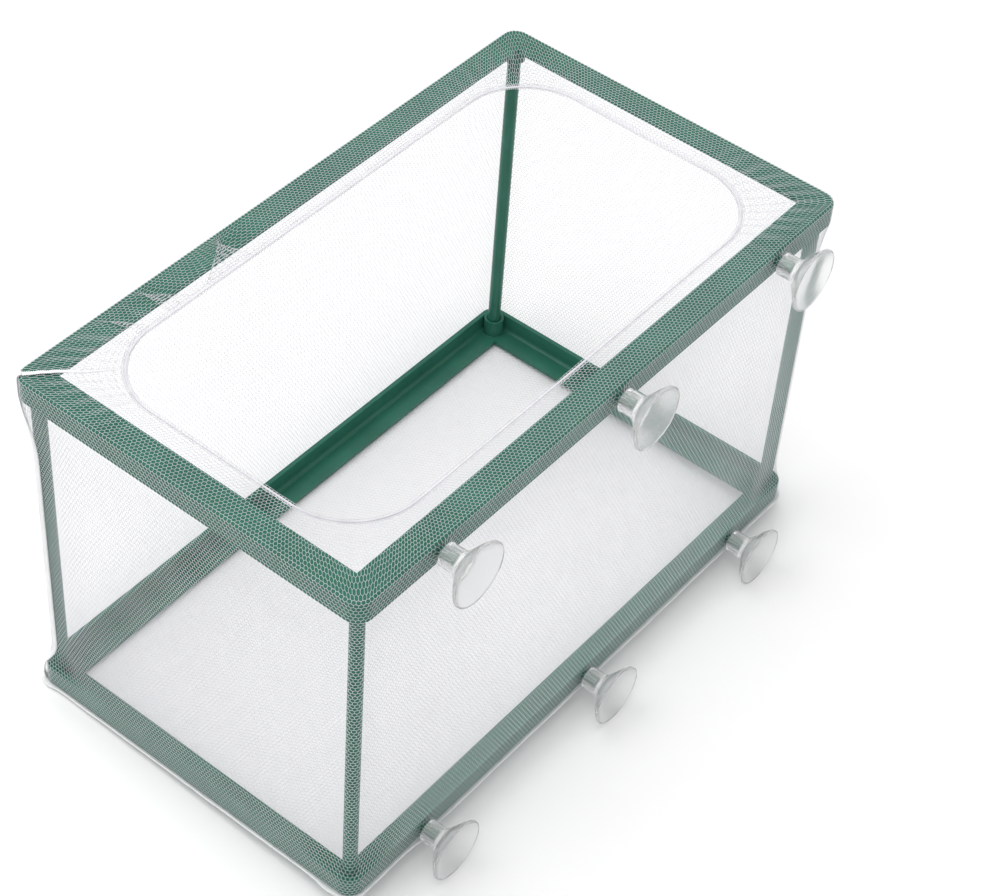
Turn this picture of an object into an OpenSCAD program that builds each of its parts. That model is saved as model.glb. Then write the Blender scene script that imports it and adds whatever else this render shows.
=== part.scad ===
// Net breeding box for a fish tank. Two moulded frames are held apart by four posts, a netting bag
// is drawn over them, and six clear suction cups on one long side hold the box to the tank's glass.
// +X runs along the length, the suction cups face -Y, and Z = 0 is the underside of the net floor.

/* [Box] */
// Length over the netting
box_l = 264; // [230:1:340]
// Width over the netting, without the suction cups
box_w = 152.4; // [110:0.1:220]
// Height from the net floor to the netting on top
box_h = 155; // [100:1:220]

/* [Frames] */
// Width of the flat flange of each frame
flange_w = 10.6; // [9.8:0.1:16]
// Height of the upright wall of each frame, flange included
wall_h = 9.2; // [7.8:0.1:14]
// Thickness of the moulded plastic
plastic_t = 1.8; // [1.4:0.1:2.2]
// Radius of the frame's outer corners
corner_r = 6; // [3:0.1:9]
// Radius of the cove between wall and flange
cove_r = 1.6; // [0.6:0.1:2.4]
// Rounding of the outer edge between flange and wall
edge_r = 0.9; // [0.3:0.1:1.3]

/* [Posts] */
// Diameter of the posts
post_d = 5.2; // [4:0.1:6]
// Wall of the corner sockets
socket_wall = 1.5; // [1:0.1:1.9]
// Clearance round a post in its socket
post_clearance = 0.05; // [0.02:0.01:0.15]
// Clearance at each end of a post
post_end_gap = 0.15; // [0.05:0.05:0.5]
// Length of the bevel at each end of a post
post_bevel = 0.6; // [0.2:0.1:1]
// Depth of the lead-in at the mouth of each socket
socket_lead = 0.5; // [0.2:0.1:1]
// How far a socket's boss is merged into the walls behind it
socket_sink = 0.3; // [0.1:0.1:0.6]

/* [Pegs] */
// Diameter of the pegs that carry the suction cups
peg_d = 4.2; // [3.6:0.1:5.2]
// Length of a peg outside the netting
peg_len = 6.8; // [4:0.1:7.4]
// Bevel at the tip of a peg
peg_bevel = 0.5; // [0.2:0.1:0.8]
// Distance from one peg to the next along the frame
peg_pitch = 93; // [60:1:96]

/* [Suction cups] */
// Diameter of a suction cup's rim
cup_d = 24.4; // [18:0.1:30]
// Distance from the netting to the rim's face
cup_reach = 15; // [13.8:0.1:20]
// Outer diameter of a cup's neck
neck_d = 8.8; // [7.4:0.1:10]
// Bevel at the mouth of a cup's bore and round the end of its neck
neck_bevel = 0.3; // [0.1:0.1:0.5]
// Length of the straight neck
neck_len = 5.4; // [3.6:0.1:6.4]
// Depth of the hollow of the cup
dish_depth = 4.8; // [3:0.1:5.2]
// Thickness of the cup at its rim
rim_t = 0.7; // [0.4:0.1:1.2]
// Gap between a cup's neck and the netting
neck_gap = 1.4; // [0.3:0.1:2]
// Clearance round a peg cover in a cup's bore
bore_clearance = 0.08; // [0.05:0.01:0.2]
// Clearance between a peg cover's end and the bottom of the bore
bore_end_gap = 0.4; // [0.2:0.1:0.8]

/* [Netting] */
// Thickness of the netting
net_t = 0.4; // [0.3:0.05:0.6]
// Openings along the length of the coarse mesh that stands for the fine netting
mesh_columns = 12; // [6:1:12]
// Openings up the sides, across the ends and across the floor
mesh_rows = 6; // [3:1:6]
// Width of the net left between two openings
mesh_bar = 2.2; // [1.4:0.1:4]
// Gap between the netting and the plastic under it
net_gap = 0.1; // [0.05:0.05:0.4]
// Free margin of net along the long sides, from the flange to the outside of the hem
margin_y = 7.6; // [5:0.1:14]
// Free margin of net across the short sides, from the flange to the outside of the hem
margin_x = 9.6; // [5:0.1:14]
// Corner radius of the opening
opening_r = 27; // [15:1:36]
// Outer diameter of the hem
hem_d = 2.4; // [2:0.1:3.2]
// Diameter of the elastic in the hem
elastic_d = 1.2; // [0.8:0.1:1.6]
// Clearance round the elastic in its hem
elastic_clearance = 0.1; // [0.05:0.05:0.15]
// Height of the seam that stands out of the left rear corner
seam_w = 2.6; // [1.5:0.1:4]
// Thickness of the seam's layers of netting
seam_t = 0.9; // [0.6:0.1:1.4]

/* [Hidden] */
$fn = 64;
eps = 0.01;

// Frames, inside the netting
frame_inset = net_t + net_gap;
frame_l = box_l - 2 * frame_inset;
frame_w = box_w - 2 * frame_inset;
bottom_z = frame_inset;
top_z = box_h - frame_inset;
net_corner_r = corner_r + frame_inset;

// Corner sockets: each shares its outer side with the frame's wall
socket_d = post_d + 2 * post_clearance + 2 * socket_wall;
socket_inset = plastic_t + socket_d / 2 - socket_sink;
socket_bore_d = post_d + 2 * post_clearance;
post_x = frame_l / 2 - socket_inset;
post_y = frame_w / 2 - socket_inset;
post_bottom_z = bottom_z + plastic_t + post_end_gap;
post_top_z = top_z - plastic_t - post_end_gap;

// Pegs, along the middle of each frame's wall on the glass side
PEG_COLUMNS = [-1, 0, 1];
bottom_peg_z = bottom_z + wall_h / 2;
top_peg_z = top_z - wall_h / 2;
PEG_LEVELS = [bottom_peg_z, top_peg_z];
glass_side_y = -box_w / 2;

// The netting's cover over a peg
cover_in_d = peg_d + 2 * net_gap;
cover_d = cover_in_d + 2 * net_t;
cover_len = peg_len + net_gap + net_t;

// Suction cup
bore_d = cover_d + 2 * bore_clearance;
bore_bottom = cover_len + bore_end_gap;
neck_end = neck_gap + neck_len;
dish_bottom = cup_reach - dish_depth;
flare_steps = 10;
dish_steps = 10;

// Opening of the bag
opening_l = frame_l - 2 * flange_w - 2 * margin_x;
opening_w = frame_w - 2 * flange_w - 2 * margin_y;
hem_l = opening_l + hem_d;
hem_w = opening_w + hem_d;
hem_r = opening_r + hem_d / 2;
hem_z = box_h - hem_d / 2;
hem_bore_d = elastic_d + 2 * elastic_clearance;

side_h = box_h - 2 * net_t;

// The stretches of netting that lie free between posts and frames, which the mesh openings fill
free_l = 2 * post_x - post_d;
free_w = 2 * post_y - post_d;
free_h = box_h - 2 * (frame_inset + wall_h);
free_floor_l = frame_l - 2 * flange_w;
free_floor_w = frame_w - 2 * flange_w;

NET_COLOR = [0.94, 0.94, 0.96, 0.4];
FRAME_COLOR = [0.13, 0.42, 0.33];
CUP_COLOR = [0.86, 0.90, 0.90, 0.5];

// A flat rounded rectangle about the origin
module rounded_rect(l, w, r) {
    square([l - 2 * r, w], center = true);
    square([l, w - 2 * r], center = true);
    for (x = [-1, 1], y = [-1, 1])
        translate([x * (l / 2 - r), y * (w / 2 - r)]) circle(r);
}

// Section through a frame's wall, from its outer face inwards, with the flange down
module wall_section(cove) {
    difference() {
        square([corner_r, wall_h]);
        translate([plastic_t, plastic_t]) square([corner_r, wall_h]);
        difference() {
            translate([-eps, -eps]) square(edge_r + eps);
            translate([edge_r, edge_r]) circle(edge_r);
        }
    }
    if (cove)
        translate([plastic_t - eps, plastic_t - eps])
            difference() {
                square(cove_r + eps);
                translate([cove_r + eps, cove_r + eps]) circle(cove_r);
            }
}

// A straight side of the frame, its outer face at Y = 0 and its inner side along +Y
module straight_wall(len) {
    rotate([90, 0, 90]) linear_extrude(len, center = true) wall_section(true);
}

module corner_wall() {
    rotate_extrude(angle = 90) translate([corner_r, 0]) mirror([1, 0]) wall_section(false);
}

// A frame's L-shaped section all round, its flange down
module frame_ring() {
    straight_l = frame_l - 2 * corner_r;
    straight_w = frame_w - 2 * corner_r;
    for (side = [0, 1]) {
        rotate(180 * side) translate([0, -frame_w / 2, 0]) straight_wall(straight_l);
        rotate(180 * side + 90) translate([0, -frame_l / 2, 0]) straight_wall(straight_w);
    }
    for (turn = [0 : 3])
        translate([(turn == 0 || turn == 3 ? 1 : -1) * straight_l / 2, (turn < 2 ? 1 : -1) * straight_w / 2, 0])
            rotate(90 * turn) corner_wall();
    linear_extrude(plastic_t)
        difference() {
            square([frame_l - 2 * corner_r + 2 * eps, frame_w - 2 * corner_r + 2 * eps], center = true);
            square([frame_l - 2 * flange_w, frame_w - 2 * flange_w], center = true);
        }
}

// The four corner bosses that the posts plug into, filled out to the walls behind them
module corner_sockets() {
    translate([0, 0, plastic_t - eps])
        linear_extrude(wall_h - plastic_t + eps) {
            for (x = [-1, 1], y = [-1, 1])
                translate([x * post_x, y * post_y]) circle(d = socket_d);
            intersection() {
                rounded_rect(frame_l - plastic_t, frame_w - plastic_t, corner_r - plastic_t / 2);
                for (x = [-1, 1], y = [-1, 1])
                    translate([x * (post_x + socket_inset / 2), y * (post_y + socket_inset / 2)])
                        square(socket_inset, center = true);
            }
        }
}

module socket_bores() {
    for (x = [-1, 1], y = [-1, 1])
        translate([x * post_x, y * post_y, 0]) {
            translate([0, 0, plastic_t]) cylinder(h = wall_h, d = socket_bore_d);
            translate([0, 0, wall_h - socket_lead])
                cylinder(h = socket_lead + eps, d1 = socket_bore_d, d2 = socket_bore_d + 2 * socket_lead);
        }
}

// A peg with a bevelled tip, standing out along -Y from the frame's wall
module peg() {
    rotate([90, 0, 0])
        rotate_extrude()
            polygon([
                [0, -plastic_t / 2], [peg_d / 2, -plastic_t / 2],
                [peg_d / 2, frame_inset + peg_len - peg_bevel],
                [peg_d / 2 - peg_bevel, frame_inset + peg_len], [0, frame_inset + peg_len]
            ]);
}

module pegs() {
    for (column = PEG_COLUMNS)
        translate([column * peg_pitch, -frame_w / 2, wall_h / 2]) peg();
}

module frame() {
    difference() {
        union() {
            frame_ring();
            corner_sockets();
            pegs();
        }
        socket_bores();
    }
}

module bottom_frame() {
    color(FRAME_COLOR) translate([0, 0, bottom_z]) frame();
}

// The same moulding as the bottom frame, turned over about the X axis, with its pegs on the same side
module top_frame() {
    color(FRAME_COLOR) translate([0, 0, top_z]) mirror([0, 0, 1]) frame();
}

// A round post with bevelled ends
module post(x_side, y_side) {
    len = post_top_z - post_bottom_z;
    color(FRAME_COLOR)
        translate([x_side * post_x, y_side * post_y, post_bottom_z])
            rotate_extrude()
                polygon([
                    [0, 0], [post_d / 2 - post_bevel / 2, 0], [post_d / 2, post_bevel],
                    [post_d / 2, len - post_bevel], [post_d / 2 - post_bevel / 2, len], [0, len]
                ]);
}

module post_glass_left() { post(-1, -1); }
module post_glass_right() { post(1, -1); }
module post_tank_left() { post(-1, 1); }
module post_tank_right() { post(1, 1); }

// A grid of openings about the origin that fills l by h, with half a bar left all round
module mesh_openings(l, h, columns, rows) {
    pitch_l = l / columns;
    pitch_h = h / rows;
    for (column = [0 : columns - 1], row = [0 : rows - 1])
        translate([(column + 0.5) * pitch_l - l / 2, (row + 0.5) * pitch_h - h / 2])
            square([pitch_l - mesh_bar, pitch_h - mesh_bar], center = true);
}

// A flat long side of the bag
module long_side(y_side) {
    translate([0, y_side * (box_w / 2 - net_t / 2), box_h / 2])
        rotate([90, 0, 0])
            linear_extrude(net_t, center = true)
                difference() {
                    square([box_l - 2 * net_corner_r, side_h], center = true);
                    mesh_openings(free_l, free_h, mesh_columns, mesh_rows);
                }
}

// Netting drawn over one peg like a thimble, standing out along -Y
module peg_cover() {
    rotate([90, 0, 0])
        difference() {
            translate([0, 0, -eps]) cylinder(h = cover_len + eps, d = cover_d);
            translate([0, 0, -net_t - eps]) cylinder(h = peg_len + net_gap + net_t + eps, d = cover_in_d);
        }
}

module net_glass_side() {
    color(NET_COLOR)
        difference() {
            union() {
                long_side(-1);
                for (column = PEG_COLUMNS, level = PEG_LEVELS)
                    translate([column * peg_pitch, glass_side_y, level]) peg_cover();
            }
            for (column = PEG_COLUMNS, level = PEG_LEVELS)
                translate([column * peg_pitch, glass_side_y + net_t + eps, level])
                    rotate([90, 0, 0]) cylinder(h = net_t + 2 * eps, d = cover_in_d);
        }
}

module net_tank_side() {
    color(NET_COLOR) long_side(1);
}

// A short end of the bag with its two rounded corners
module short_end(x_side) {
    color(NET_COLOR)
        difference() {
            translate([0, 0, net_t])
                linear_extrude(side_h)
                    intersection() {
                        difference() {
                            rounded_rect(box_l, box_w, net_corner_r);
                            rounded_rect(box_l - 2 * net_t, box_w - 2 * net_t, net_corner_r - net_t);
                        }
                        translate([x_side * (box_l / 2 - net_corner_r / 2), 0])
                            square([net_corner_r, box_w + 2 * eps], center = true);
                    }
            translate([x_side * (box_l / 2 - net_t / 2), 0, box_h / 2])
                rotate([90, 0, 90])
                    linear_extrude(2 * net_t, center = true)
                        mesh_openings(free_w, free_h, mesh_rows, mesh_rows);
        }
}

module net_left_end() { short_end(-1); }
module net_right_end() { short_end(1); }

module net_floor() {
    color(NET_COLOR)
        linear_extrude(net_t)
            difference() {
                rounded_rect(box_l, box_w, net_corner_r);
                mesh_openings(free_floor_l, free_floor_w, mesh_columns, mesh_rows);
            }
}

// A closed rod bent round the opening, in the plane of its own centre line
module hem_rod(d) {
    straight_l = hem_l - 2 * hem_r;
    straight_w = hem_w - 2 * hem_r;
    for (side = [-1, 1]) {
        translate([0, side * hem_w / 2, 0]) rotate([0, 90, 0]) cylinder(h = straight_l, d = d, center = true);
        translate([side * hem_l / 2, 0, 0]) rotate([90, 0, 0]) cylinder(h = straight_w, d = d, center = true);
    }
    for (turn = [0 : 3])
        translate([(turn == 0 || turn == 3 ? 1 : -1) * straight_l / 2, (turn < 2 ? 1 : -1) * straight_w / 2, 0])
            rotate(90 * turn) rotate_extrude(angle = 90) translate([hem_r, 0]) circle(d = d, $fn = 24);
}

// The netting folded in over the top frame, with the hem round the opening
module net_top_fold() {
    color(NET_COLOR)
        difference() {
            union() {
                translate([0, 0, box_h - net_t])
                    linear_extrude(net_t)
                        difference() {
                            rounded_rect(box_l, box_w, net_corner_r);
                            rounded_rect(hem_l, hem_w, hem_r);
                        }
                translate([0, 0, hem_z]) hem_rod(hem_d);
            }
            translate([0, 0, hem_z]) hem_rod(hem_bore_d);
        }
}

module hem_elastic() {
    color(NET_COLOR) translate([0, 0, hem_z]) hem_rod(elastic_d);
}

// The bag's upright seam, a doubled edge of netting that stands out of one corner
module net_corner_seam() {
    corner_x = -box_l / 2 + net_corner_r;
    corner_y = box_w / 2 - net_corner_r;
    color(NET_COLOR)
        translate([corner_x, corner_y, net_t])
            rotate(135)
                translate([net_corner_r - eps, -seam_t / 2, 0]) cube([seam_w, seam_t, side_h]);
}

// Half section of a suction cup: radius, and distance from the netting
function flare(i) =
    let (t = i / flare_steps, s = 1 - cos(90 * t))
    [neck_d / 2 + (cup_d / 2 - neck_d / 2) * sin(90 * t) * t,
     neck_end + (cup_reach - rim_t - neck_end) * (0.75 * t + 0.25 * s)];
function dish(i) =
    let (t = i / dish_steps)
    [(cup_d / 2 - rim_t) * (1 - t), cup_reach - dish_depth * sin(90 * t)];

module cup(column, level) {
    outer = [for (i = [0 : flare_steps]) flare(i)];
    hollow = [for (i = [0 : dish_steps]) dish(i)];
    color(CUP_COLOR)
        translate([column * peg_pitch, glass_side_y, level])
            rotate([90, 0, 0])
                difference() {
                    rotate_extrude()
                        polygon(concat(
                            [[0, neck_gap], [neck_d / 2 - neck_bevel, neck_gap], [neck_d / 2, neck_gap + neck_bevel]],
                            outer, [[cup_d / 2, cup_reach]], hollow
                        ));
                    cylinder(h = bore_bottom, d = bore_d);
                }
}

module cup_top_left() { cup(-1, top_peg_z); }
module cup_top_middle() { cup(0, top_peg_z); }
module cup_top_right() { cup(1, top_peg_z); }
module cup_bottom_left() { cup(-1, bottom_peg_z); }
module cup_bottom_middle() { cup(0, bottom_peg_z); }
module cup_bottom_right() { cup(1, bottom_peg_z); }

top_frame();
bottom_frame();
post_glass_left();
post_glass_right();
post_tank_left();
post_tank_right();
net_glass_side();
net_tank_side();
net_left_end();
net_right_end();
net_floor();
net_top_fold();
net_corner_seam();
hem_elastic();
cup_top_left();
cup_top_middle();
cup_top_right();
cup_bottom_left();
cup_bottom_middle();
cup_bottom_right();
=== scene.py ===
import math

import bpy
import numpy as np
from mathutils import Matrix, Vector


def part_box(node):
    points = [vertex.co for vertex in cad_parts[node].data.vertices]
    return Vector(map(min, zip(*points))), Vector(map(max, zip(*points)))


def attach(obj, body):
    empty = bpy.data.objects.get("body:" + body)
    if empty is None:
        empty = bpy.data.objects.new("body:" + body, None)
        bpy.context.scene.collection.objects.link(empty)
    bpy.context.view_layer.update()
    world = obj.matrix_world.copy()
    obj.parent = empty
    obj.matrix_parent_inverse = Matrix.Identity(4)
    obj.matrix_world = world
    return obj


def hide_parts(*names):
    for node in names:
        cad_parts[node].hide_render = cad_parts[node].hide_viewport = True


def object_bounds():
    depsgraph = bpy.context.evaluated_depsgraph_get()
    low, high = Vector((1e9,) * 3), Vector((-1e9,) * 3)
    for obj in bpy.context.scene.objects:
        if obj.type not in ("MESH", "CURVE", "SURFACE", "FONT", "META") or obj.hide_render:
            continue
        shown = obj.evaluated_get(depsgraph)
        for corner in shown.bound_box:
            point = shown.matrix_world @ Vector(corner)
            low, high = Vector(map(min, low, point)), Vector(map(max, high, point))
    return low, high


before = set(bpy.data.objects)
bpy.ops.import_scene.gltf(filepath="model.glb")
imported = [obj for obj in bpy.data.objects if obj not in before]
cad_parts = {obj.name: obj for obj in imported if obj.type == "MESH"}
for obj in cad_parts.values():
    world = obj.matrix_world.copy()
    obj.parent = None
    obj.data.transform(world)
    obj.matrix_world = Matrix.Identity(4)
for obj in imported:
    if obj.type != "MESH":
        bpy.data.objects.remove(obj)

CAD_LO, CAD_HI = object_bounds()
MM = 0.001


def box_mm(node):
    """A node's lowest and highest corners in millimetres."""
    lo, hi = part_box(node)
    return np.array(lo) / MM, np.array(hi) / MM


# The box's sizes in millimetres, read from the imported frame.
FLOOR_LO, FLOOR_HI = box_mm("net_floor")
FOLD_LO, FOLD_HI = box_mm("net_top_fold")
TOP_LO, TOP_HI = box_mm("top_frame")
LEFT_LO, LEFT_HI = box_mm("net_left_end")
ELASTIC_LO, ELASTIC_HI = box_mm("hem_elastic")
POST_LO, POST_HI = box_mm("post_tank_right")
CUP_LO, CUP_HI = box_mm("cup_top_middle")

HALF_L = FLOOR_HI[0]
HALF_W = FLOOR_HI[1]
BOX_H = FOLD_HI[2]
CORNER_R = LEFT_HI[0] - LEFT_LO[0]
WALL_H = TOP_HI[2] - TOP_LO[2]
ELASTIC_D = ELASTIC_HI[2] - ELASTIC_LO[2]
HEM_HALF_L = ELASTIC_HI[0] - ELASTIC_D / 2
HEM_HALF_W = ELASTIC_HI[1] - ELASTIC_D / 2
HEM_Z = (ELASTIC_HI[2] + ELASTIC_LO[2]) / 2
POST_X, POST_Y = ((POST_LO + POST_HI) / 2)[:2]
POST_R = (POST_HI[0] - POST_LO[0]) / 2
PEG_TIP = -TOP_LO[1] - HALF_W
NECK_START = -CUP_HI[1] - HALF_W
# Sizes that the frame doesn't give.
HEM_R = 28.2
FLANGE_W = 11.1
PEG_R = 2.1

CUPS = [f"cup_{row}_{column}" for row in ("top", "bottom") for column in ("left", "middle", "right")]


def cup_centre(name):
    """Where a cup's axis crosses the netting: x and z in millimetres."""
    lo, hi = box_mm(name)
    return (lo[0] + hi[0]) / 2, (lo[2] + hi[2]) / 2


PEGS = [cup_centre(name) for name in CUPS]

# Camera

IMAGE_W = 995
FOCAL_PX = 2557.88
CAM_AZIMUTH = math.radians(-54.437)
CAM_ELEVATION = math.radians(45.339)
CAM_ROLL = math.radians(4.827)
CAM_DISTANCE = 923.46
CAM_TARGET = Vector((6.565, -22.757, 84.168))
SENSOR = 36


def make_camera():
    a, e = CAM_AZIMUTH, CAM_ELEVATION
    back = Vector((math.sin(a) * math.cos(e), -math.cos(a) * math.cos(e), math.sin(e)))
    right = Vector((math.cos(a), math.sin(a), 0))
    up = back.cross(right)
    c, s = math.cos(CAM_ROLL), math.sin(CAM_ROLL)
    right, up = c * right + s * up, c * up - s * right
    data = bpy.data.cameras.new("camera")
    data.sensor_width = SENSOR
    data.lens = FOCAL_PX / IMAGE_W * SENSOR
    data.clip_start, data.clip_end = 0.01, 20
    camera = bpy.data.objects.new("camera", data)
    turn = Matrix((right, up, back)).transposed().to_4x4()
    camera.matrix_world = Matrix.Translation((CAM_TARGET + back * CAM_DISTANCE) * MM) @ turn
    bpy.context.scene.collection.objects.link(camera)
    bpy.context.scene.camera = camera


make_camera()

# Materials


class Nodes:
    """A short way to build one material's node tree."""

    def __init__(self, name):
        self.material = bpy.data.materials.new(name)
        self.material.use_nodes = True
        self.tree = self.material.node_tree
        self.shader = self.tree.nodes["Principled BSDF"]
        self.coordinates = self.add("ShaderNodeTexCoord").outputs["Object"]

    def add(self, kind, **settings):
        node = self.tree.nodes.new(kind)
        for key, value in settings.items():
            if key in node.inputs:
                node.inputs[key].default_value = value
            else:
                setattr(node, key, value)
        return node

    def link(self, source, target):
        self.tree.links.new(source, target)

    def set(self, **values):
        for key, value in values.items():
            self.shader.inputs[key.replace("_", " ")].default_value = value

    def noise(self, scale, detail=3.0, roughness=0.5):
        node = self.add("ShaderNodeTexNoise", Scale=scale, Detail=detail, Roughness=roughness)
        self.link(self.coordinates, node.inputs["Vector"])
        return node.outputs["Fac"]

    def ramp(self, source, stops):
        node = self.add("ShaderNodeValToRGB")
        elements = node.color_ramp.elements
        while len(elements) < len(stops):
            elements.new(0.5)
        for element, (place, colour) in zip(elements, stops):
            element.position = place
            element.color = (*colour, 1)
        self.link(source, node.inputs["Fac"])
        return node.outputs["Color"]

    def remap(self, source, low, high):
        node = self.add("ShaderNodeMapRange")
        node.inputs["To Min"].default_value = low
        node.inputs["To Max"].default_value = high
        self.link(source, node.inputs["Value"])
        return node.outputs["Result"]

    def bump(self, source, strength, distance):
        node = self.add("ShaderNodeBump", Strength=strength, Distance=distance)
        self.link(source, node.inputs["Height"])
        self.link(node.outputs["Normal"], self.shader.inputs["Normal"])


def green_plastic():
    n = Nodes("green_plastic")
    colour = n.ramp(n.noise(60, 4), [(0.3, (0.022, 0.126, 0.084)), (0.7, (0.031, 0.163, 0.110))])
    n.link(colour, n.shader.inputs["Base Color"])
    n.link(n.remap(n.noise(900, 2), 0.24, 0.36), n.shader.inputs["Roughness"])
    n.bump(n.noise(2200, 3), 0.1, 0.0002)
    n.set(IOR=1.5, Specular_IOR_Level=0.28)
    return n.material


def clear_pvc():
    n = Nodes("clear_pvc")
    colour = n.ramp(n.noise(120, 3), [(0.2, (0.97, 0.98, 0.98)), (0.8, (1.0, 1.0, 1.0))])
    n.link(colour, n.shader.inputs["Base Color"])
    n.link(n.remap(n.noise(500, 2), 0.16, 0.26), n.shader.inputs["Roughness"])
    n.bump(n.noise(350, 2), 0.05, 0.0003)
    n.set(IOR=1.3, Transmission_Weight=0.86)
    return n.material


def thread(name, dark, light, roughness):
    n = Nodes(name)
    n.link(n.ramp(n.noise(260, 4, 0.6), [(0.3, dark), (0.7, light)]), n.shader.inputs["Base Color"])
    n.bump(n.noise(6000, 2), 0.3, 0.00005)
    n.link(n.remap(n.noise(1500, 2), roughness - 0.08, roughness + 0.08), n.shader.inputs["Roughness"])
    n.set(Sheen_Weight=0.15)
    return n.material


GREEN = green_plastic()
CLEAR = clear_pvc()
NET = thread("net_thread", (0.81, 0.80, 0.85), (0.90, 0.89, 0.93), 0.42)
SEAM = thread("seam_thread", (0.88, 0.89, 0.89), (0.96, 0.96, 0.96), 0.7)
ELASTIC = thread("elastic", (0.74, 0.74, 0.77), (0.84, 0.84, 0.87), 0.6)


def dress_node(name, material):
    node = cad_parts[name]
    if not node.material_slots:
        node.data.materials.append(material)
    for slot in node.material_slots:
        slot.material = material


# Netting

THREAD_W = 0.13
THREAD_H = 0.115
# Half the strands' surface is 0.23 of the cut, and
# seen square on they cover at most about 0.16.
CELL_U = 1.6
CELL_V = 1.43
# Half the length of an upright strand of the honeycomb.
STRAND_HALF = CELL_V / 3
JUNCTION = THREAD_W / math.sqrt(3)
# How far inside the box's outer sizes the netting lies.
NET_OFFSET = 0.34


def corner_ring(angles):
    return np.array([[math.cos(math.radians(a)), math.sin(math.radians(a))] for a in angles]) * JUNCTION


UPPER_SIDES = corner_ring((30, 150, 270))
LOWER_SIDES = corner_ring((330, 210, 90))
# Each kind of strand: row step, and which sides of the junctions at its two ends it joins.
STRANDS = {
    "left": (1, (1, 2, 2, 0)),
    "right": (1, (2, 1, 0, 2)),
    "upright": (2, (0, 0, 1, 1)),
}


def unit(vectors):
    return vectors / np.maximum(np.linalg.norm(vectors, axis=1), 1e-9)[:, None]


def on_surface(place, u, v, step=0.2):
    """Points of a surface with the unit vectors along u, along v and outwards there."""
    points = place(u, v)
    along = unit(place(u + step, v) - points)
    across = place(u, v + step) - points
    across = unit(across - along * (across * along).sum(1)[:, None])
    return points, along, across, np.cross(along, across)


def netting(name, place, inside, u_range, v_range):
    """A honeycomb of real strands. place(u, v) gives the points in millimetres of places on the flat cloth,
    and inside(u, v) says which strands the piece keeps."""
    columns = int(math.ceil((u_range[1] - u_range[0]) / CELL_U)) + 2
    rows = int(math.ceil((v_range[1] - v_range[0]) / CELL_V)) + 4
    row, column = np.meshgrid(np.arange(rows), np.arange(columns), indexing="ij")
    centre_u = u_range[0] + (column - 1 + 0.5 * (row % 2)) * CELL_U
    centre_v = v_range[0] + (row - 2) * CELL_V
    half_cell = CELL_V - STRAND_HALF
    upper = np.stack([centre_u, centre_v + half_cell], -1).reshape(-1, 2)
    lower = np.stack([centre_u, centre_v - half_cell], -1).reshape(-1, 2)
    index = np.arange(rows * columns).reshape(rows, columns)

    ends = []
    for kind, (step, sides) in STRANDS.items():
        first = index[: rows - step]
        if kind == "upright":
            second = index[step:]
            keep = np.ones(first.shape, bool)
        else:
            odd = row[: rows - step] % 2
            target = column[: rows - step] + (odd if kind == "right" else odd - 1)
            keep = (target >= 0) & (target < columns)
            second = index[row[: rows - step] + step, np.clip(target, 0, columns - 1)]
        first, second = first[keep], second[keep]
        middle = (upper[first] + lower[second]) / 2
        chosen = inside(middle[:, 0], middle[:, 1])
        ends.append((first[chosen], second[chosen], sides))

    used_up = np.zeros(rows * columns, bool)
    used_low = np.zeros(rows * columns, bool)
    for first, second, _ in ends:
        used_up[first] = True
        used_low[second] = True
    count_up = used_up.sum()
    number_up = np.cumsum(used_up) - 1
    number_low = np.cumsum(used_low) - 1 + count_up

    centres = np.concatenate([upper[used_up], lower[used_low]])
    rings = np.concatenate([
        np.broadcast_to(UPPER_SIDES, (count_up, 3, 2)),
        np.broadcast_to(LOWER_SIDES, (used_low.sum(), 3, 2)),
    ])
    points, along, across, out = on_surface(place, centres[:, 0], centres[:, 1])
    sides = rings[..., :1] * along[:, None, :] + rings[..., 1:] * across[:, None, :]
    crest = out * THREAD_H
    vertices = points[:, None, :] + np.concatenate([crest[:, None, :], sides], 1)
    flat = centres[:, None, :] + np.concatenate([np.zeros((len(centres), 1, 2)), rings], 1)

    quads, triangles = [], []
    open_up = [np.ones(count_up, bool) for _ in ends]
    open_low = [np.ones(used_low.sum(), bool) for _ in ends]
    for k, (first, second, (right_up, right_low, left_up, left_low)) in enumerate(ends):
        a, b = number_up[first], number_low[second]
        open_up[k][a] = False
        open_low[k][b - count_up] = False
        a, b = 4 * a, 4 * b
        quads.append(np.stack([a, a + 1 + right_up, b + 1 + right_low, b], 1))
        quads.append(np.stack([a, b, b + 1 + left_low, a + 1 + left_up], 1))
        quads.append(np.stack([a + 1 + right_up, a + 1 + left_up, b + 1 + left_low, b + 1 + right_low], 1))
    up = 4 * number_up[used_up]
    low = 4 * number_low[used_low]
    triangles.append(np.stack([up + 1, up + 3, up + 2], 1))
    triangles.append(np.stack([low + 1, low + 2, low + 3], 1))
    for k, (_, _, (right_up, right_low, left_up, left_low)) in enumerate(ends):
        a, b = up[open_up[k]], low[open_low[k]]
        triangles.append(np.stack([a, a + 1 + right_up, a + 1 + left_up], 1))
        triangles.append(np.stack([b, b + 1 + left_low, b + 1 + right_low], 1))
    return mesh_piece(name, vertices.reshape(-1, 3) * MM, np.concatenate(quads), np.concatenate(triangles),
                      NET, flat.reshape(-1, 2))


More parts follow.
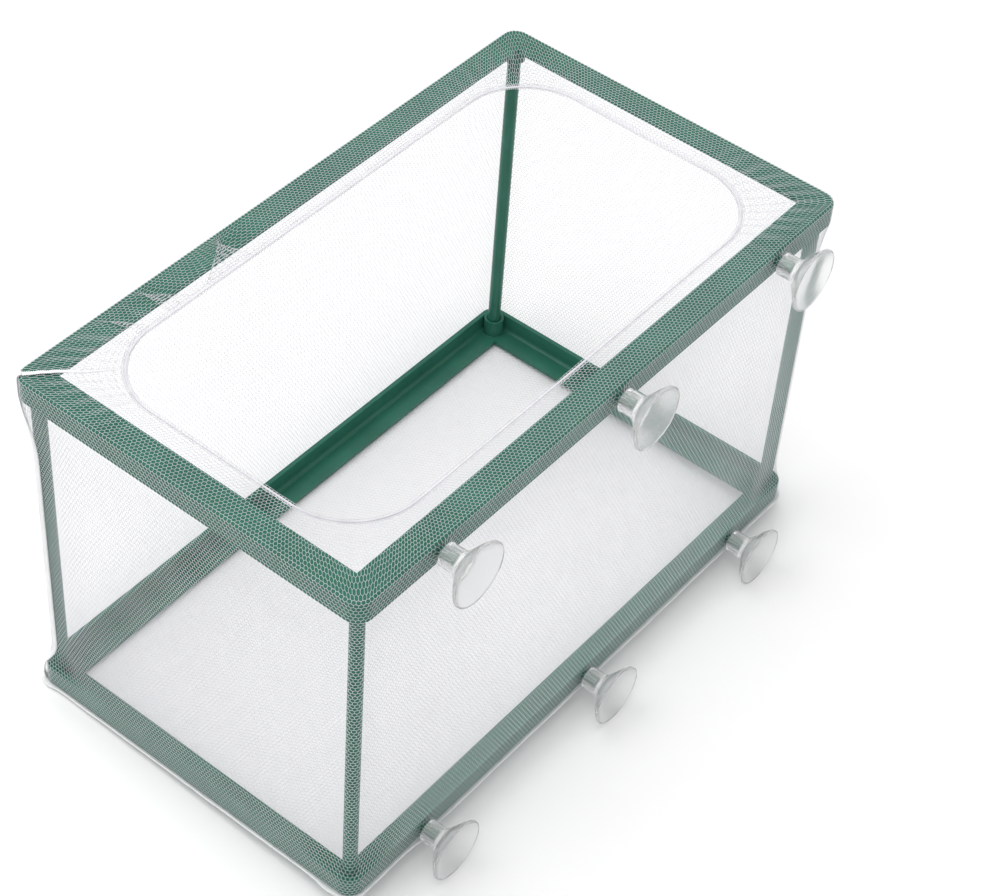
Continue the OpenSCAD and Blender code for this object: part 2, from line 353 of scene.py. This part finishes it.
def mesh_piece(name, vertices, quads, triangles, material, flat=None):
    """A smooth mesh from arrays, with the flat cloth's coordinates kept as its UV map."""
    mesh = bpy.data.meshes.new(name)
    corners = np.concatenate([quads.ravel(), triangles.ravel()]).astype(np.int32)
    sizes = np.concatenate([np.full(len(quads), 4), np.full(len(triangles), 3)])
    starts = np.concatenate([[0], np.cumsum(sizes)[:-1]]).astype(np.int32)
    mesh.vertices.add(len(vertices))
    mesh.vertices.foreach_set("co", np.asarray(vertices, np.float32).ravel())
    mesh.loops.add(len(corners))
    mesh.loops.foreach_set("vertex_index", corners)
    mesh.polygons.add(len(sizes))
    mesh.polygons.foreach_set("loop_start", starts)
    mesh.polygons.foreach_set("use_smooth", np.ones(len(sizes), bool))
    mesh.update(calc_edges=True)
    if flat is not None:
        span = (flat.max(0) - flat.min(0)).max()
        uv = (flat - flat.min(0)) / span * 0.98 + 0.01
        layer = mesh.uv_layers.new(name="OFBake")
        layer.data.foreach_set("uv", uv[corners].astype(np.float32).ravel())
    mesh.materials.append(material)
    piece = bpy.data.objects.new(name, mesh)
    bpy.context.scene.collection.objects.link(piece)
    return piece


class Outline:
    """A rounded rectangle, measured round from the middle of the left end, first towards the glass side."""

    def __init__(self, half_l, half_w, r):
        a, b = half_l - r, half_w - r
        arc = math.pi * r / 2
        self.r = r
        self.lengths = np.array([b, arc, 2 * a, arc, 2 * b, arc, 2 * a, arc, b])
        self.starts = np.concatenate([[0], np.cumsum(self.lengths)])
        self.total = self.starts[-1]
        self.origins = np.array([
            (-half_l, 0), (-a, -b), (-a, -half_w), (a, -b), (half_l, -b),
            (a, b), (a, half_w), (-a, b), (-half_l, b),
        ], float)
        self.directions = np.array([
            (0, -1), (0, 0), (1, 0), (0, 0), (0, 1), (0, 0), (-1, 0), (0, 0), (0, -1),
        ], float)
        self.turns = np.array([0, math.pi, 0, 1.5 * math.pi, 0, 0, 0, math.pi / 2, 0])
        self.is_arc = np.array([0, 1, 0, 1, 0, 1, 0, 1, 0], bool)
        self.corners = [self.starts[k] + self.lengths[k] / 2 for k in (1, 3, 5, 7)]

    def at(self, s):
        """Points and outward normals at distances s round the outline."""
        s = np.mod(s, self.total)
        k = np.clip(np.searchsorted(self.starts, s, side="right") - 1, 0, 8)
        along = s - self.starts[k]
        angle = self.turns[k] + along / self.r
        round_n = np.stack([np.cos(angle), np.sin(angle)], -1)
        direction = self.directions[k]
        flat_n = np.stack([direction[:, 1], -direction[:, 0]], -1)
        arc = self.is_arc[k][:, None]
        on_arc = self.origins[k] + self.r * round_n
        on_side = self.origins[k] + along[:, None] * direction
        return np.where(arc, on_arc, on_side), np.where(arc, round_n, flat_n)

    def away(self, s, place):
        """How far round the outline s lies from a place, the shorter way, with its sign."""
        return np.mod(s - place + self.total / 2, self.total) - self.total / 2


WALLS = Outline(HALF_L - NET_OFFSET, HALF_W - NET_OFFSET, CORNER_R - NET_OFFSET)
HEM = Outline(HEM_HALF_L, HEM_HALF_W, HEM_R)
GLASS_LEFT, GLASS_RIGHT, TANK_RIGHT, TANK_LEFT = WALLS.corners
SEAM_S = TANK_LEFT - WALLS.total
FOLD_EDGE_R = 1.1
WALL_V = BOX_H - NET_OFFSET - FOLD_EDGE_R
FOLD_ARC = math.pi / 2 * FOLD_EDGE_R
FOLD_START = WALL_V + FOLD_ARC
FOLD_V = 20.5
CASING_R = 0.8
# The slack netting between the frames: how far it fades out, how much it wanders and how far it falls in.
SLACK_FADE = 25
SLACK_WANDER = 0.7
SLACK_IN = 0.8
# How far inside the flange's edge the fold hangs free, and how uneven it is there.
FREE_REACH = 7
FOLD_UNEVEN = 0.3
# How far above the hem's middle the fold meets the casing.
HEM_MEET = 0.3


def smooth_step(x):
    x = np.clip(x, 0, 1)
    return x * x * (3 - 2 * x)


def waves(u, v, seed, scale):
    """A gentle repeatable unevenness between -1 and 1."""
    rng = np.random.default_rng(seed)
    total = np.zeros_like(u)
    for _ in range(7):
        angle, phase = rng.uniform(0, 2 * math.pi, 2)
        length = scale * rng.uniform(0.6, 1.8)
        total += np.sin((u * math.cos(angle) + v * math.sin(angle)) * 2 * math.pi / length + phase)
    return total / 7 * 1.6


# Where the netting lies round the posts

# The netting's radius round a post, and half the arc that it covers there.
HUG_R = POST_R + 0.45
HUG_ARC = HUG_R * math.pi / 4
# How far along the walls and down from the top frame and up from the bottom one the netting is drawn in.
HUG_REACH = 26.0
HUG_DROP = 30.0
HUG_CLIMB = 13.0


def from_corner(u):
    """How far round the walls' outline the nearest corner is."""
    return np.min([np.abs(WALLS.away(u, corner)) for corner in WALLS.corners], axis=0)


def drawn_in(z):
    """How much of the way to the posts the walls' corners have gone at height z."""
    down = np.clip((BOX_H - WALL_H - z) / HUG_DROP, 0, 1)
    climb = np.clip((z - WALL_H) / HUG_CLIMB, 0, 1)
    return (1 - (1 - down) ** 2) * (1 - (1 - climb) ** 2)


def round_posts(u, outer):
    """The walls' outline at half height, drawn in round the four posts."""
    drawn = outer.copy()
    for corner in WALLS.corners:
        away = WALLS.away(u, corner)
        near = np.abs(away) < HUG_REACH
        if not near.any():
            continue
        away = away[near]
        point, normal = WALLS.at(np.array([corner]))
        post = np.array([math.copysign(POST_X, point[0, 0]), math.copysign(POST_Y, point[0, 1])])
        angle = math.atan2(normal[0, 1], normal[0, 0]) + np.clip(away, -HUG_ARC, HUG_ARC) / HUG_R
        on_post = post + HUG_R * np.stack([np.cos(angle), np.sin(angle)], -1)
        ends, end_normals = WALLS.at(corner + np.sign(away) * HUG_REACH)
        part = np.clip((np.abs(away) - HUG_ARC) / (HUG_REACH - HUG_ARC), 0, 1)
        whole = ends - on_post
        outwards = end_normals * (whole * end_normals).sum(1)[:, None]
        drawn[near] = on_post + (whole - outwards) * part[:, None] + outwards * smooth_step(part)[:, None]
    return drawn


# Netting over the pegs

PEG_FLAT_R = 3.3
TENT_R = 9.0
PEG_SIDE_R = PEG_R + 0.12
# The way out over a peg: radius on the flat cloth, radius on the peg, and height out of the wall.
TENT = np.array([
    (0.0, 0.0, PEG_TIP + 0.1),
    (PEG_R - 0.3, PEG_R - 0.3, PEG_TIP + 0.1),
    (PEG_R + 0.25, PEG_SIDE_R, PEG_TIP - 0.4),
    (PEG_FLAT_R, PEG_SIDE_R + 0.05, NECK_START + 0.3),
    (PEG_FLAT_R + 0.9, PEG_SIDE_R + 0.9, NECK_START * 0.55),
    (PEG_FLAT_R + 2.2, PEG_SIDE_R + 2.9, NECK_START * 0.15),
    (TENT_R, TENT_R, 0.0),
])


def over_pegs(x, z, out):
    """Draws the flat glass side over the pegs. Returns x, z and the height out of the wall."""
    for peg_x, peg_z in PEGS:
        dx, dz = x - peg_x, z - peg_z
        rho = np.hypot(dx, dz)
        near = rho < TENT_R
        if not near.any():
            continue
        scale = np.interp(rho, TENT[:, 0], TENT[:, 1]) / np.maximum(rho, 1e-6)
        x = np.where(near, peg_x + dx * scale, x)
        z = np.where(near, peg_z + dz * scale, z)
        out = np.where(near, out * smooth_step(rho / TENT_R) + np.interp(rho, TENT[:, 0], TENT[:, 2]), out)
    return x, z, out


# The fold over the top frame, drawn in by the elastic

GATHER_WAVE = 7.5
GATHER_DEPTH = 1.1


def fold_knots():
    """Where the cloth's straight sides lie along the hem, with no gathers opposite the hem's own
    straight sides."""
    walls, hem = [], []
    for k in (0, 2, 4, 6, 8):
        reach = HEM.lengths[k] if k in (0, 8) else HEM.lengths[k] / 2
        for outline, knots in ((WALLS, walls), (HEM, hem)):
            middle = {0: 0.0, 8: outline.total}.get(k, outline.starts[k] + outline.lengths[k] / 2)
            knots += [middle - reach, middle + reach]
    keep = slice(1, -1)
    around = np.array([-1, 0, 1])[:, None]
    cloth_places = np.array(walls[keep]) + around * WALLS.total
    hem_places = np.array(hem[keep]) + around * HEM.total
    return cloth_places.ravel(), hem_places.ravel()


FOLD_U, FOLD_S = fold_knots()


def hem_place(u):
    """Where along the hem a place of the cloth ends up, and how much the cloth is gathered there."""
    spread = np.array([-12.0, -6.0, 0.0, 6.0, 12.0])
    samples = np.interp(u[:, None] + spread, FOLD_U, FOLD_S)
    gathered = 1 - (samples[:, -1] - samples[:, 0]) / (spread[-1] - spread[0])
    return samples.mean(1), np.clip(gathered, 0, 1)


def on_tank_side(x):
    """The distance round the walls' outline of a place on the tank side."""
    return WALLS.starts[6] + HALF_L - NET_OFFSET - WALLS.r - x


# Tucks where the elastic has doubled the cloth over: x on the tank side, half width, how strongly it
# folds, and how far it leans along the side by the time it reaches the hem.
TUCKS = [(-76.0, 3.8, 5.5, 7.0), (-36.0, 8.5, 4.6, -9.0), (-95.0, 2.8, 5.0, 5.0)]
TUCK_LAYER = 0.32


def tuck(u, part):
    """Shifts the cloth along the hem into its tucks.

    Returns the new place and the height of the upper layers."""
    shift, height = np.zeros_like(u), np.zeros_like(u)
    for x, width, fold, slant in TUCKS:
        away = WALLS.away(u, on_tank_side(x) - slant * part) / width
        near = np.exp(-away ** 2)
        shift -= fold * part * width * away * near
        height += TUCK_LAYER * smooth_step(part * 2.5) * near * (1 - np.tanh(2 * away))
    return u + shift, height


def bag_side(u, v):
    """The side strip of the bag: up the walls, over the top frame's edge and in to the hem."""
    part = np.clip((v - WALL_V - FOLD_ARC) / (FOLD_V - FOLD_ARC), 0, 1)
    u, layer = tuck(u, part)
    outer, normal = WALLS.at(u)
    points = np.zeros((len(u), 3))

    # Walls: taut over both frames, round the posts at the corners, and a little slack between them.
    z = v + NET_OFFSET
    slack = smooth_step((v - WALL_H) / SLACK_FADE) * smooth_step((BOX_H - WALL_H - v) / SLACK_FADE)
    slack *= smooth_step((from_corner(u) - HUG_ARC) / HUG_REACH)
    out = slack * (SLACK_WANDER * waves(u, v, 3, 60) - SLACK_IN)
    inward = drawn_in(z)[:, None]
    walls = outer * (1 - inward) + round_posts(u, outer) * inward
    points[:, :2] = walls + normal * out[:, None]
    points[:, 2] = z
    glass = (u > WALLS.starts[2]) & (u < WALLS.starts[3]) & (v < WALL_V)
    if glass.any():
        depth = -(HALF_W - NET_OFFSET) - points[glass, 1]
        x, height_z, depth = over_pegs(points[glass, 0], points[glass, 2], depth)
        points[glass] = np.stack([x, -(HALF_W - NET_OFFSET) - depth, height_z], -1)

    # The rounded edge between wall and fold.
    edge = (v >= WALL_V) & (v < FOLD_START)
    turn = (v[edge] - WALL_V) / FOLD_EDGE_R
    points[edge, :2] = outer[edge] + normal[edge] * (FOLD_EDGE_R * (np.cos(turn) - 1))[:, None]
    points[edge, 2] = WALL_V + NET_OFFSET + FOLD_EDGE_R * np.sin(turn)

    # The fold: flat on the flange, then sagging to the hem and gathered round its corners.
    fold = v >= FOLD_START
    s, gathered = hem_place(u[fold])
    hem, hem_normal = HEM.at(s)
    start = outer[fold] - normal[fold] * FOLD_EDGE_R
    flat = start + (hem + hem_normal * CASING_R - start) * part[fold, None]
    inside = np.minimum(HALF_L - FLANGE_W - np.abs(flat[:, 0]), HALF_W - FLANGE_W - np.abs(flat[:, 1]))
    free = smooth_step(inside / FREE_REACH)
    ripple = np.sin(u[fold] * 2 * math.pi / GATHER_WAVE + 1.5 * waves(u[fold], v[fold] * 0.4, 9, 30))
    gathers = GATHER_DEPTH * gathered * ripple * free * (1 - 0.6 * part[fold] ** 4)
    lifted = 0.5 * gathered * (1 + ripple) * smooth_step(part[fold] * 4) * (1 - free)
    sag = free * (HEM_Z + HEM_MEET - BOX_H + NET_OFFSET)
    uneven = FOLD_UNEVEN * free * waves(u[fold], v[fold], 11, 18)
    points[fold, :2] = flat
    points[fold, 2] = BOX_H - NET_OFFSET + sag + gathers + lifted + uneven
    points[fold, 2] += layer[fold]
    return points


def lattice_range(u0, u1):
    """Widens a stretch to whole cells of the one lattice that starts at the corner seam."""
    first = math.floor((u0 - SEAM_S) / CELL_U) - 1
    last = math.ceil((u1 - SEAM_S) / CELL_U) + 1
    return SEAM_S + first * CELL_U, SEAM_S + last * CELL_U


def keep_on(piece):
    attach(piece, "box")


SEAM_END = SEAM_S + WALLS.total
# The fold starts an even number of rows up, so that its cells follow on from the walls'.
FOLD_V0 = 2 * CELL_V * round(WALL_V / CELL_V / 2)
FOLD_V1 = WALL_V + FOLD_V


def make_walls():
    s = WALLS.starts
    stretches = {
        "net_left_end": (SEAM_S, s[2]),
        "net_glass_side": (s[2], s[3]),
        "net_right_end": (s[3], s[6]),
        "net_tank_side": (s[6], SEAM_END),
    }
    for node, (u0, u1) in stretches.items():
        def inside(u, v, u0=u0, u1=u1):
            return (u > u0) & (u <= u1) & (v > 0) & (v <= FOLD_V0)

        wall = netting(node + "_mesh", bag_side, inside, lattice_range(u0, u1), (0, FOLD_V0))
        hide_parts(node)
        keep_on(wall)


def make_floor_net():
    def place(u, v):
        z = np.clip(0.06 + 0.12 * waves(u, v, 5, 50), 0.02, 0.2)
        return np.stack([u, v, z], -1)

    def inside(u, v):
        dx = np.maximum(np.abs(u) - (HALF_L - CORNER_R), 0)
        dy = np.maximum(np.abs(v) - (HALF_W - CORNER_R), 0)
        return np.hypot(dx, dy) < CORNER_R - 0.2

    floor = netting("net_floor_mesh", place, inside, (-HALF_L, HALF_L), (-HALF_W, HALF_W))
    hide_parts("net_floor")
    keep_on(floor)


# Hem, elastic and seams


def tangents(path, closed):
    """The unit vectors along a path."""
    if closed:
        return unit(np.roll(path, -1, 0) - np.roll(path, 1, 0))
    return unit(np.gradient(path, axis=0))


def sweep(name, path, out, r_out, r_side, material, sides=8, closed=True):
    """A tube along points in millimetres. Its section is an ellipse, r_out towards the vectors out and
    r_side across."""
    path = np.asarray(path, float)
    count = len(path)
    r_out = np.broadcast_to(r_out, (count,))[:, None, None]
    r_side = np.broadcast_to(r_side, (count,))[:, None, None]
    tangent = tangents(path, closed)
    side = unit(np.cross(tangent, np.broadcast_to(out, path.shape)))
    top = np.cross(side, tangent)
    angle = (np.arange(sides) * 2 * math.pi / sides)[None, :, None]
    ring = np.cos(angle) * side[:, None, :] * r_side + np.sin(angle) * top[:, None, :] * r_out
    vertices = (path[:, None, :] + ring).reshape(-1, 3) * MM
    rings = count if closed else count - 1
    i = np.repeat(np.arange(rings), sides)
    j = np.tile(np.arange(sides), rings)
    a, b = i * sides + j, i * sides + (j + 1) % sides
    c, d = ((i + 1) % count) * sides + (j + 1) % sides, ((i + 1) % count) * sides + j
    quads = np.stack([a, d, c, b], 1)
    triangles = np.zeros((0, 3), int)
    if not closed:
        last = (count - 1) * sides
        fan = np.arange(1, sides - 1)
        triangles = np.concatenate([
            np.stack([np.zeros_like(fan), fan, fan + 1], 1),
            np.stack([np.full_like(fan, last), last + fan + 1, last + fan], 1),
        ])
    return mesh_piece(name, vertices, quads, triangles, material)


# The overlock thread's radius.
THREAD_R = 0.13


def overlock(name, path, out, r_out, r_side, pitch, closed=True):
    """Thread wound round the edge of a seam, whose section is the same ellipse as the sweep inside it."""
    path = np.asarray(path, float)
    if closed:
        steps = np.linalg.norm(np.roll(path, -1, 0) - path, axis=1)
    else:
        steps = np.concatenate([np.linalg.norm(np.diff(path, axis=0), axis=1), [0]])
    along = np.concatenate([[0], np.cumsum(steps)])
    length = along[-1]
    turns = int(length / pitch)
    t = np.linspace(0, length, turns * 8, endpoint=not closed)
    if closed:
        path, out = np.concatenate([path, path[:1]]), np.concatenate([out, out[:1]])
        r_out = np.concatenate([np.broadcast_to(r_out, (len(path) - 1,)), [np.ravel(r_out)[0]]])
        r_side = np.concatenate([np.broadcast_to(r_side, (len(path) - 1,)), [np.ravel(r_side)[0]]])
    else:
        along = along[:-1]
        r_out, r_side = np.broadcast_to(r_out, (len(path),)), np.broadcast_to(r_side, (len(path),))
    centre = np.stack([np.interp(t, along, path[:, k]) for k in range(3)], 1)
    lift = unit(np.stack([np.interp(t, along, out[:, k]) for k in range(3)], 1))
    r_out, r_side = np.interp(t, along, r_out), np.interp(t, along, r_side)
    tangent = tangents(centre, closed)
    side = unit(np.cross(tangent, lift))
    angle = t / length * turns * 2 * math.pi
    radial = side * (np.cos(angle) * (r_side + THREAD_R))[:, None]
    radial += np.cross(side, tangent) * (np.sin(angle) * (r_out + THREAD_R))[:, None]
    return sweep(name, centre + radial, unit(radial), THREAD_R, THREAD_R, SEAM, 5, closed)


# The elastic's half thickness upwards and across.
ELASTIC_UP = 0.26 * ELASTIC_D
ELASTIC_ACROSS = 0.34 * ELASTIC_D
# The hem's row of stitches: how many, how far out from the hem and above its middle, how far they
# swing, and the thread's radius.
STITCHES = 240
STITCH_ROW = 1.3
STITCH_LIFT = 0.5
STITCH_SWING = 0.2
STITCH_R = 0.09


def make_hem():
    """The fold's netting and, round the opening, its rolled edge with the elastic inside it."""
    def in_fold(u, v):
        return (u > SEAM_S) & (u <= SEAM_END) & (v > FOLD_V0) & (v <= FOLD_V1)

    all_round = lattice_range(SEAM_S, SEAM_END)
    fold = netting("net_top_fold_mesh", bag_side, in_fold, all_round, (FOLD_V0, FOLD_V1))
    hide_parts("net_top_fold")

    def casing_place(u, v):
        s, _ = hem_place(u)
        points, normals = HEM.at(s)
        turn = v / CASING_R
        reach = CASING_R * (1 + 0.12 * waves(u, u * 0, 21, 6))
        flat = points + normals * (reach * np.cos(turn))[:, None]
        return np.concatenate([flat, (HEM_Z + reach * np.sin(turn) * 0.95)[:, None]], 1)

    round_casing = 2 * math.pi * CASING_R

    def in_casing(u, v):
        return (u > SEAM_S) & (u <= SEAM_END) & (v > 0) & (v <= round_casing)

    casing = netting("net_hem_casing", casing_place, in_casing, all_round, (0, round_casing))
    keep_on(casing)

    s = np.linspace(0, HEM.total, 1800, endpoint=False)
    points, normals = HEM.at(s)
    up = np.array([0.0, 0.0, 1.0])
    elastic = sweep("hem_elastic_cord", np.insert(points, 2, HEM_Z, 1), up, ELASTIC_UP, ELASTIC_ACROSS,
                    ELASTIC)
    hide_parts("hem_elastic")
    keep_on(elastic)

    stitch = np.tanh(3 * np.sin(s * 2 * math.pi / (HEM.total / STITCHES)) + 0.6)
    row = points + normals * STITCH_ROW
    row = np.insert(row, 2, HEM_Z + STITCH_LIFT + STITCH_SWING * stitch, 1)
    stitches = sweep("net_hem_stitches", row, up, STITCH_R, STITCH_R, ELASTIC, 5)
    keep_on(stitches)
    keep_on(fold)


# How far round from the corner the upright seam lies where the netting is drawn in to the post.
SEAM_SHIFT = 3.2
# Half its width and thickness, how far it lies off the netting, and the pitch of its thread.
SEAM_HALF_W = 0.85
SEAM_HALF_T = 0.15
SEAM_LIFT = 0.36
SEAM_PITCH = 0.75
# It stands off in an ear above the bottom edge and in a bulge under the top frame.
EAR_Z = 4.5
BULGE_SIZE = 7
BULGE_Z = BOX_H - WALL_H - BULGE_SIZE
# How far along the fold it narrows, over what length, and by how much.
TAPER_START = 12
TAPER_LENGTH = 5
TAPER = 0.75


def make_corner_seam():
    """The bag's upright seam: two edges of netting overlocked together and laid flat towards the left end."""
    v = np.concatenate([np.linspace(FOLD_V1 - 1, WALL_V, 110, endpoint=False), np.linspace(WALL_V, 0.6, 520)])
    z = v + NET_OFFSET
    shift = np.where(v < WALL_V, SEAM_SHIFT * drawn_in(z) ** 1.5, 0)
    points, _, _, out = on_surface(bag_side, SEAM_S + shift, v)
    ear = np.exp(-((z - EAR_Z) / EAR_Z) ** 2)
    bulge = np.exp(-((z - BULGE_Z) / BULGE_SIZE) ** 2)
    wander = waves(v, v * 0, 31, 14) + 0.7 * waves(v, v * 0, 33, 3)
    taper = 1 - TAPER * smooth_step((v - FOLD_START - TAPER_START) / TAPER_LENGTH)
    half_width = (SEAM_HALF_W + 0.12 * wander + 0.5 * ear + 0.35 * bulge) * taper
    path = points + out * (SEAM_LIFT + 0.9 * ear + 0.3 * bulge + 0.06 * wander)[:, None]
    band = sweep("net_corner_seam_band", path, out, SEAM_HALF_T, half_width, SEAM, closed=False)
    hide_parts("net_corner_seam")
    keep_on(band)
    thread_piece = overlock("net_corner_overlock", path, out, SEAM_HALF_T, half_width, SEAM_PITCH,
                            closed=False)
    keep_on(thread_piece)


# Loose ears of the bottom seam: place round the walls, how far each reaches out, and its half length.
EARS = [(TANK_LEFT, 1.6, 6.0), (GLASS_LEFT - 9.0, 0.9, 4.5), (GLASS_LEFT, 0.2, 4.0), (GLASS_RIGHT, 0.5, 5.0),
        (TANK_RIGHT, 0.6, 5.0), (WALLS.starts[2] + 31.0, 0.7, 6.0)]
# The bottom seam: half its width and thickness, its height, and the pitch of its thread.
BOTTOM_HALF_W = 0.42
BOTTOM_HALF_T = 0.14
BOTTOM_Z = 0.85
BOTTOM_PITCH = 0.9


def make_bottom_seam():
    """The seam allowance that stands out all round the bottom edge, where the floor meets the sides."""
    u = np.linspace(0, WALLS.total, 2400, endpoint=False)
    points, normals = WALLS.at(u)
    half = BOTTOM_HALF_W + 0.08 * waves(u, u * 0, 41, 25)
    for place, reach, width in EARS:
        half += reach / 2 * np.exp(-(WALLS.away(u, place) / width) ** 2)
    droop = BOTTOM_Z + 0.12 * waves(u, u * 0, 43, 18)
    path = np.insert(points + normals * (half + 0.1)[:, None], 2, droop, 1)
    out = np.insert(normals, 2, 0.12, 1)
    band = sweep("net_bottom_seam_band", path, out, half, BOTTOM_HALF_T, SEAM)
    keep_on(band)
    thread_piece = overlock("net_bottom_overlock", path, out, half, BOTTOM_HALF_T, BOTTOM_PITCH)
    keep_on(thread_piece)


make_walls()
make_floor_net()
make_hem()
make_corner_seam()
make_bottom_seam()

POSTS = [f"post_{side}_{end}" for side in ("glass", "tank") for end in ("left", "right")]
for node_name in ["top_frame", "bottom_frame", *POSTS]:
    dress_node(node_name, GREEN)
for node_name in CUPS:
    dress_node(node_name, CLEAR)

# Floor and light

REST_ANGLE = math.atan2(FLOOR_LO[2] - CAD_LO.z / MM, HALF_W - CAD_LO.y / MM)
FLOOR_SIZE = 8.0
WORLD_STRENGTH = 0.8
KEY_PLACE = (-0.35, 0.45, 1.5)
KEY_TARGET = (0, 0, 0.05)
KEY_SIZE = (1.6, 1.6)
KEY_POWER = 16


def make_floor():
    """A pale floor through the lower cups' rims and the far bottom edge, which the box rests on."""
    n = Nodes("floor")
    n.set(Roughness=0.9)
    colour = n.ramp(n.noise(3), [(0.3, (0.93, 0.93, 0.93)), (0.7, (0.95, 0.95, 0.95))])
    n.link(colour, n.shader.inputs["Base Color"])
    mesh = bpy.data.meshes.new("floor")
    h = FLOOR_SIZE / 2
    mesh.from_pydata([(-h, -h, 0), (h, -h, 0), (h, h, 0), (-h, h, 0)], [], [(0, 1, 2, 3)])
    mesh.materials.append(n.material)
    floor = bpy.data.objects.new("floor", mesh)
    turn = Matrix.Rotation(REST_ANGLE, 4, "X")
    floor.matrix_world = Matrix.Translation((0, HALF_W * MM, FLOOR_LO[2] * MM - 0.0001)) @ turn
    bpy.context.scene.collection.objects.link(floor)


def area_light(name, place, target, size, power):
    data = bpy.data.lights.new(name, "AREA")
    data.shape = "RECTANGLE"
    data.size, data.size_y = size
    data.energy = power
    light = bpy.data.objects.new(name, data)
    light.location = place
    light.rotation_mode = "QUATERNION"
    light.rotation_quaternion = (Vector(target) - Vector(place)).to_track_quat("-Z", "Y")
    bpy.context.scene.collection.objects.link(light)


def make_lights():
    world = bpy.data.worlds.new("studio")
    world.use_nodes = True
    world.node_tree.nodes["Background"].inputs["Color"].default_value = (1, 1, 1, 1)
    world.node_tree.nodes["Background"].inputs["Strength"].default_value = WORLD_STRENGTH
    bpy.context.scene.world = world
    area_light("key", KEY_PLACE, KEY_TARGET, KEY_SIZE, KEY_POWER)


make_floor()
make_lights()
bpy.context.scene.view_settings.view_transform = "Standard"
